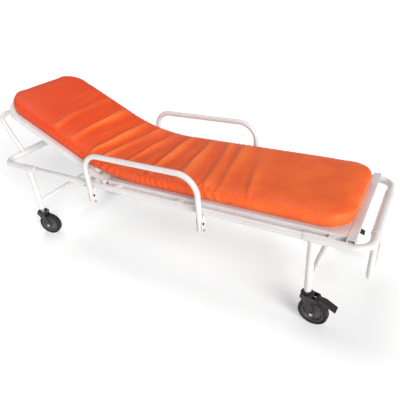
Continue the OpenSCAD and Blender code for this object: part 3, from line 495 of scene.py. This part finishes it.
def buildMattress(spec, cell):
    # two sheets that share the belly line: upper with the crown, under flat on the deck
    x0 = -(bend["length"] + spec["headReach"] - spec["endIn"] - bend["near"])
    x1 = padHigh.x - spec["endIn"] - bend["x"]
    sheets = []
    for inset, height in padRings(spec, cell):
        x, y, ring, axes = padPlan(inset, x0, x1, spec["width"], spec["corner"], cell)
        sheets.append({"flat": np.stack([x, y, height[ring]], -1), "ring": ring, "axes": axes})
    upper, under = sheets
    inner = upper["ring"] > 0
    upper["index"] = np.arange(inner.size).reshape(inner.shape)
    under["index"] = upper["index"].copy()
    under["index"][inner] = inner.size + np.arange(inner.sum())
    flat = np.concatenate([upper["flat"].reshape(-1, 3), under["flat"][inner]])
    faces = np.concatenate([gridFaces(upper["index"]), gridFaces(under["index"])[:, ::-1]])
    return {"flat": flat, "faces": faces, "upper": upper, "under": under}


def swellCover(slab, spec):
    # cloth under air pressure, cut flat and a little slack, held where it lies on the deck
    # gives each point's move, eased to the cap by tanh
    sim = addMesh("cover_cloth", layOnCot(slab["flat"]), slab["faces"], "orange_cover")
    sim.shape_key_add(name="laid")
    cut = sim.shape_key_add(name="cut")
    cutPoints = slab["flat"] * np.array([spec["slack"], spec["slack"], 1.0])
    cut.data.foreach_set("co", cutPoints.astype(np.float32).ravel())
    pins = sim.vertex_groups.new(name="held")
    pins.add(np.flatnonzero(slab["flat"][:, 2] < 1e-6).tolist(), 1.0, "REPLACE")
    modifier = sim.modifiers.new("cloth", "CLOTH")
    cloth = modifier.settings
    for key, value in spec["cloth"].items():
        setattr(cloth, key, value)
    cloth.effector_weights.gravity = 0
    cloth.vertex_group_mass = "held"
    cloth.rest_shape_key = cut
    modifier.collision_settings.use_collision = False
    modifier.point_cache.frame_start, modifier.point_cache.frame_end = 1, spec["frames"]
    start = np.empty(len(sim.data.vertices) * 3, np.float32)
    sim.data.vertices.foreach_get("co", start)
    for step in range(1, spec["frames"] + 1):
        bpy.context.scene.frame_set(step)
    done = sim.evaluated_get(bpy.context.evaluated_depsgraph_get()).to_mesh()
    end = np.empty_like(start)
    done.vertices.foreach_get("co", end)
    bpy.data.objects.remove(sim)
    bpy.context.scene.frame_set(1)
    move = (end - start).reshape(-1, 3)
    length = np.maximum(np.linalg.norm(move, axis=1, keepdims=True), 1e-9)
    print("cover swelled by up to %.1f mm, capped" % (1000 * length.max()))
    return move / length * spec["cap"] * np.tanh(length / spec["cap"])


def readGrid(grid, rows, columns):
    # bilinear reading of a grid at fractional rows and columns
    i = np.clip(rows.astype(int), 0, grid.shape[0] - 2)[:, None]
    j = np.clip(columns.astype(int), 0, grid.shape[1] - 2)[None, :]
    u = (rows[:, None] - i)[..., None]
    v = (columns[None, :] - j)[..., None]
    near = grid[i, j] * (1 - v) + grid[i, j + 1] * v
    far = grid[i + 1, j] * (1 - v) + grid[i + 1, j + 1] * v
    return near * (1 - u) + far * u


def carryMove(move, coarse, fine):
    # the coarse slab's moves, read at the fine slab's points, sheet by sheet
    carried = np.zeros_like(fine["flat"])
    for sheet in ("under", "upper"):
        places = [np.interp(f, c, np.arange(len(c)))
                  for f, c in zip(fine[sheet]["axes"], coarse[sheet]["axes"])]
        carried[fine[sheet]["index"]] = readGrid(move[coarse[sheet]["index"]], *places)
    return carried


def pointNormals(points, faces):
    # area-weighted sum of the faces' normals at each point
    a, b, c, d = (points[faces[:, k]] for k in range(4))
    normal = np.cross(c - a, d - b)
    total = np.zeros_like(points)
    for k in range(4):
        np.add.at(total, faces[:, k], normal)
    return total / np.maximum(np.linalg.norm(total, axis=1, keepdims=True), 1e-12)


def foldCover(points, slab, spec):
    # folds push the top along its normal; gathers follow the sewn edge; short slanted folds lie on the sides;
    # also returns the painted highlight mask, palest where they rise
    along, across, height = slab["flat"].T
    upper = np.zeros(len(along), bool)
    upper[slab["upper"]["index"]] = True
    ring = np.zeros(len(along))
    ring[slab["under"]["index"]] = slab["under"]["ring"]
    ring[slab["upper"]["index"]] = slab["upper"]["ring"]
    seam = spec["sideRows"] + 1
    onTop = np.where(upper, smoothStep(seam, seam + spec["topRings"], ring), 0)
    folds = coverRise(along, across, spec) * onTop
    low, high = spec["bunched"]
    bunched = smoothStep(low - 0.2, low + 0.15, along) * (1 - smoothStep(high - 0.2, high + 0.25, along))
    edgeRise, edgeStep = spec["pucker"]
    nearSeam = np.where(upper, np.exp(-((ring - seam - 2.5) / 3.5) ** 2), 0)
    beat = np.sin(2 * math.pi * along / edgeStep + 9 * np.sin(7 * along)) * np.sin(13 * along + 0.7)
    gathers = edgeRise * nearSeam * beat * (0.3 + 0.9 * bunched)
    sideRise, sideStep = spec["sideFold"]
    onSide = np.where(ring < seam + 1, np.sin(math.pi * np.clip(height / spec["edge"], 0, 1)), 0)
    slant = along + spec["sideLean"] * np.sign(np.sin(5 * along)) * (height - 0.03)
    wave = np.sin(2 * math.pi * slant / sideStep + 4 * np.sin(11 * along)) * (0.6 + 0.4 * np.sin(23 * along))
    sides = sideRise * onSide * wave * (0.12 + bunched)
    # painted highlight: the heights of folds, gathers and side folds make a mask of paler colour, standing in
    # for light on their crests
    edgeHighlight, sideHighlight = spec["highlightShares"]
    pale = folds + bunched * (edgeHighlight * edgeRise * nearSeam * np.clip(beat, 0, 1)
                              + sideHighlight * sideRise * onSide * np.clip(wave, 0, 1))
    paintedHighlight = np.clip(pale / spec["paintedHighlight"], 0, 1)
    rise = folds + gathers + sides
    return points + pointNormals(points, slab["faces"]) * rise[:, None], paintedHighlight


slab = buildMattress(mattress, mattress["cell"])
padPoints = layOnCot(slab["flat"])
simSlab = buildMattress(mattress, mattress["simCell"])
padPoints = padPoints + carryMove(swellCover(simSlab, mattress), simSlab, slab)
padPoints, padHighlight = foldCover(padPoints, slab, mattress)
pad = addMesh("mattress_cover", padPoints, slab["faces"], "orange_cover")
print("mattress:", len(padPoints), "points")

# sewn edges: a thin cord along the upper and the under edge, and a row of stitches beside the upper one
welts = {"radius": 0.0018, "sides": 8, "sink": 0.0006}
stitches = {"length": 0.0042, "radius": 0.0006, "rings": 5, "sides": 6,
            "tip": 0.12,        # angle left open at a stitch's ends
            "ringsIn": 3}       # rings from the welt to the stitches


def ringPath(sheet, ring):
    # point numbers once round the sheet on one ring
    index = sheet["index"][ring:sheet["index"].shape[0] - ring, ring:sheet["index"].shape[1] - ring]
    return np.r_[index[:-1, 0], index[-1, :-1], index[:0:-1, -1], index[0, :0:-1]]


def pathAxes(path, guide):
    # at each point of a closed path: ahead, the guide made square to it, and the third direction
    ahead = np.roll(path, -1, 0) - np.roll(path, 1, 0)
    ahead /= np.linalg.norm(ahead, axis=1, keepdims=True)
    out = guide - ahead * np.sum(guide * ahead, 1, keepdims=True)
    out /= np.linalg.norm(out, axis=1, keepdims=True)
    return ahead, out, np.cross(ahead, out)


def sweepRing(path, guide, radius, sides):
    # circle of the given radius carried round a closed path
    _, out, side = pathAxes(path, guide)
    turn = np.linspace(0, 2 * math.pi, sides + 1)[:-1][None, :, None]
    radius = np.broadcast_to(radius, len(path))[:, None, None]
    points = path[:, None] + radius * (out[:, None] * np.cos(turn) + side[:, None] * np.sin(turn))
    index = np.pad(np.arange(len(path) * sides).reshape(-1, sides), ((0, 1), (0, 1)), mode="wrap")
    return points.reshape(-1, 3), gridFaces(index)


def sewStitches(path, guide, spec):
    # a slim spindle at each point: half length times cos v ahead, radius times sin v across
    ahead, out, side = (a[:, None, None] for a in pathAxes(path, guide))
    v = np.linspace(spec["tip"], math.pi - spec["tip"], spec["rings"])[None, :, None, None]
    turn = np.linspace(0, 2 * math.pi, spec["sides"] + 1)[:-1][None, None, :, None]
    around = out * np.cos(turn) + side * np.sin(turn)
    points = (path[:, None, None] + ahead * np.cos(v) * spec["length"] / 2
              + around * np.sin(v) * spec["radius"])
    step = spec["rings"] * spec["sides"]
    one = np.pad(np.arange(step).reshape(spec["rings"], -1), ((0, 0), (0, 1)), mode="wrap")
    faces = (gridFaces(one)[None] + step * np.arange(len(path))[:, None, None]).reshape(-1, 4)
    return points.reshape(-1, 3), faces


padNormals = pointNormals(padPoints, slab["faces"])
coverPieces = [(pad, slab["flat"])]
seamRing = mattress["sideRows"] + 2
for name, sheet in (("cover_welt_top", "upper"), ("cover_welt_under", "under")):
    numbers = ringPath(slab[sheet], seamRing)
    path = padPoints[numbers] - padNormals[numbers] * welts["sink"]
    cord = sweepRing(path, padNormals[numbers], welts["radius"], welts["sides"])
    welt = addMesh(name, *cord, "orange_cover")
    coverPieces.append((welt, np.repeat(slab["flat"][numbers], welts["sides"], 0)))
numbers = ringPath(slab["upper"], seamRing + stitches["ringsIn"])
thread = sewStitches(padPoints[numbers], padNormals[numbers], stitches)
sewn = addMesh("cover_stitches", *thread, "orange_cover")
coverPieces.append((sewn, np.repeat(slab["flat"][numbers], stitches["rings"] * stitches["sides"], 0)))
for piece, flat in coverPieces:
    store = piece.data.attributes.new("coverFlat", "FLOAT_VECTOR", "POINT")
    store.data.foreach_set("vector", flat.astype(np.float32).ravel())
    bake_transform(piece)
# the painted highlight mask, stored on the cover's points
highlightStore = pad.data.attributes.new("coverHighlight", "FLOAT", "POINT")
highlightStore.data.foreach_set("value", padHighlight.astype(np.float32))
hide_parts("mattress_foot", "mattress_fold", "mattress_head")
print("cover sewn")

# weld beads where the tubes meet
welds = {"radius": 0.0023, "ripples": 30, "ripple": 0.10, "steps": 90, "sides": 8,
         # radii of the tubes that meet
         "leg": 0.015, "legSleeve": 0.018, "crossTube": 0.0125, "loop": 0.0125, "turnSleeve": 0.019,
         "loopY": 0.137, "headLean": math.radians(29.1)}


def weldBead(centre, along, across, small, large, spec):
    # saddle line: on a tube of radius small that leaves a tube of radius large square to its axis,
    # the reach from that axis is sqrt(large^2 - (small sin t)^2); the bead's radius ripples along it
    t = np.linspace(0, 2 * math.pi, spec["steps"] + 1)[:-1, None]
    along, across = np.array(along), np.array(across)
    side = np.cross(along, across)
    ring = across * np.cos(t) + side * np.sin(t)
    path = np.array(centre) + along * np.sqrt(large ** 2 - (small * np.sin(t)) ** 2) + small * ring
    radius = spec["radius"] * (1 + spec["ripple"] * np.sin(spec["ripples"] * t[:, 0]))
    return sweepRing(path, ring, radius, spec["sides"])


def addWelds(name, body, beads):
    # all beads of one body in one mesh
    starts = np.cumsum([0] + [len(points) for points, _ in beads[:-1]])
    points = np.concatenate([points for points, _ in beads])
    faces = np.concatenate([faces + start for start, (_, faces) in zip(starts, beads)])
    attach(addMesh(name, points, faces, "white_paint"), body)


def boxMiddle(node):
    low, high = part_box(node)
    return np.array((low + high) / 2)


frameBeads = []
for sideName in ("right", "left"):
    rail = boxMiddle("side_rail_" + sideName)
    inward = -np.sign(rail[1])
    for endName in ("head", "foot"):
        crossTube = boxMiddle("lower_cross_tube_" + endName)
        frameBeads.append(weldBead((crossTube[0], rail[1], rail[2]), (0, 0, -1), (1, 0, 0),
                                   welds["leg"], welds["legSleeve"], welds))
        frameBeads.append(weldBead((crossTube[0], rail[1], crossTube[2]), (0, inward, 0), (0, 0, 1),
                                   welds["crossTube"], welds["leg"], welds))
addWelds("frame_welds", "frame", frameBeads)
lean = (-math.sin(welds["headLean"]), 0, math.cos(welds["headLean"]))
for body, reach in (("head_handle", lean), ("foot_handle", (0, 0, -1))):
    bar = boxMiddle(body + "_bushes")
    addWelds(body + "_welds", body, [
        weldBead((bar[0], y, bar[2]), reach, (0, 1, 0), welds["loop"], welds["turnSleeve"], welds)
        for y in (-welds["loopY"], welds["loopY"])])
print("welds laid")


# floor and light
stage = {
    "floorSide": 80.0, "floorColour": (0.88, 0.88, 0.88), "floorGlow": 0.24, "floorRough": 0.9,
    "floorShine": 0.1,
    "skyLow": (0.62, 0.62, 0.62), "skyHigh": (0.10, 0.10, 0.10),    # pale at the horizon, dim overhead
    "skyFade": (0.12, 0.5),
    "lightReach": 5,
    "lights": [    # name, direction that it shines from, spread, strength
        ("sideLight", (0.77, -0.50, 0.40), math.radians(40), 3.7),
        ("ceilingLight", (-0.32, 0.25, 0.91), math.radians(28), 1.0),
    ],
}


def addStage(spec):
    half = spec["floorSide"] / 2
    mesh = bpy.data.meshes.new("floor")
    corners = [(-half, -half, 0), (half, -half, 0), (half, half, 0), (-half, half, 0)]
    mesh.from_pydata(corners, [], [(0, 1, 2, 3)])
    floor = bpy.data.objects.new("floor", mesh)
    bpy.context.scene.collection.objects.link(floor)
    surface, _, _ = newMaterial("floor", {
        "Base Color": (*spec["floorColour"], 1), "Roughness": spec["floorRough"],
        "Specular IOR Level": spec["floorShine"],
        "Emission Color": (1, 1, 1, 1), "Emission Strength": spec["floorGlow"]})
    mesh.materials.append(surface)
    world = bpy.data.worlds.new("studio")
    world.use_nodes = True
    tree = world.node_tree
    aim = addNode(tree, "ShaderNodeTexCoord").outputs["Generated"]
    parts = addNode(tree, "ShaderNodeSeparateXYZ")
    tree.links.new(aim, parts.inputs["Vector"])
    climb = addRange(tree, parts.outputs["Z"], *spec["skyFade"])
    sky = mixColours(tree, climb, spec["skyLow"], spec["skyHigh"])
    tree.links.new(sky, tree.nodes["Background"].inputs["Color"])
    bpy.context.scene.world = world
    for name, place, spread, strength in spec["lights"]:
        light = bpy.data.lights.new(name, "SUN")
        light.angle, light.energy = spread, strength
        made = bpy.data.objects.new(name, light)
        made.location = spec["lightReach"] * Vector(place)
        made.rotation_euler = Vector(place).to_track_quat("Z", "Y").to_euler()
        bpy.context.scene.collection.objects.link(made)
    bpy.context.scene.view_settings.view_transform = "Standard"


addStage(stage)
print("stage set")
